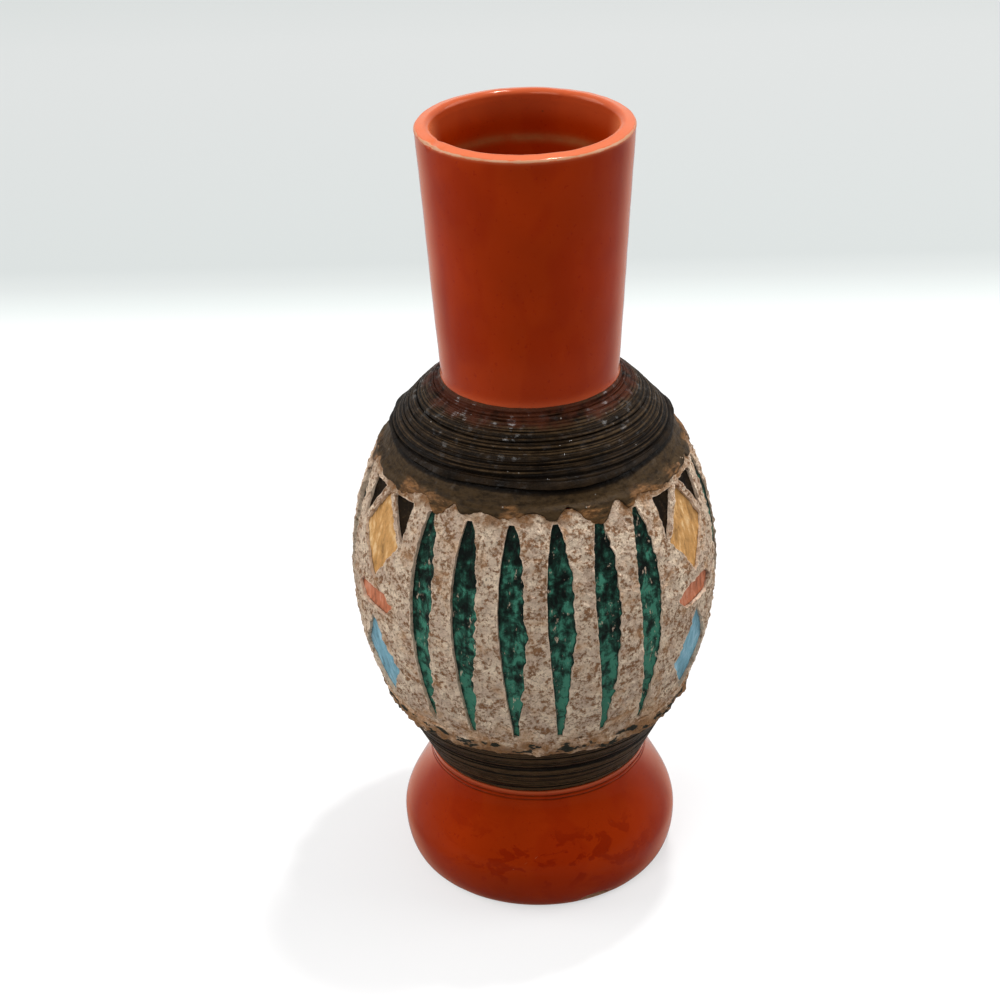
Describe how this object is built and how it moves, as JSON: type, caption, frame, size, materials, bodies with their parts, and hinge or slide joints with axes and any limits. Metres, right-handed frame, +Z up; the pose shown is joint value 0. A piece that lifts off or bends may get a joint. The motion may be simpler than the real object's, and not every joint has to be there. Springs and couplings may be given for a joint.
{
  "type": "footed vase",
  "caption": "Footed vase with a bell foot, a swelling belly with combed bands and an inlaid frieze, and a tall neck that opens at the lip. It holds cut flowers.",
  "frame": {"origin": "centre of the flat standing ring, on the surface the vase stands on", "axes": "+Z up along the turning axis, -Y towards the side that the picture shows, +X to its right"},
  "size_m": [0.1092, 0.1092, 0.24],
  "materials": {
    "orange_glaze": "glossy red-orange glaze over red clay",
    "belly_clay": "red clay, orange glaze on the inside",
    "luting_slip": "matt red-brown slip in the joints",
    "dark_slip": "brown-black combed slip with a low sheen",
    "cream_slip": "rough cream slip with brown speckle",
    "green_glaze": "mottled dark green glaze, satin",
    "yellow_slip": "brushed ochre yellow slip, matt",
    "terracotta_slip": "coral terracotta slip, matt",
    "blue_slip": "brushed light blue slip, matt"
  },
  "bodies": {
    "root": {"foot": "orange_glaze", "belly": "belly_clay", "neck": "orange_glaze", "foot_luting_ring": "luting_slip", "neck_luting_ring": "luting_slip", "waist_combed_slip": "dark_slip", "frieze_hem": "cream_slip", "frieze_ground": "cream_slip", "ledge_band": "dark_slip", "shoulder_combed_slip": "dark_slip", "green_leaf_01": "green_glaze", "green_leaf_02": "green_glaze", "green_leaf_03": "green_glaze", "green_leaf_04": "green_glaze", "green_leaf_05": "green_glaze", "green_leaf_06": "green_glaze", "green_leaf_07": "green_glaze", "green_leaf_08": "green_glaze", "green_leaf_09": "green_glaze", "green_leaf_10": "green_glaze", "green_leaf_11": "green_glaze", "green_leaf_12": "green_glaze", "green_leaf_13": "green_glaze", "green_leaf_14": "green_glaze", "green_leaf_15": "green_glaze", "green_leaf_16": "green_glaze", "green_leaf_17": "green_glaze", "green_leaf_18": "green_glaze", "yellow_lozenge_1": "yellow_slip", "terracotta_bar_1": "terracotta_slip", "blue_lozenge_1": "blue_slip", "black_corner_1_right": "dark_slip", "black_corner_1_left": "dark_slip", "yellow_lozenge_2": "yellow_slip", "terracotta_bar_2": "terracotta_slip", "blue_lozenge_2": "blue_slip", "black_corner_2_right": "dark_slip", "black_corner_2_left": "dark_slip", "yellow_lozenge_3": "yellow_slip", "terracotta_bar_3": "terracotta_slip", "blue_lozenge_3": "blue_slip", "black_corner_3_right": "dark_slip", "black_corner_3_left": "dark_slip"}
  },
  "joints": []
}
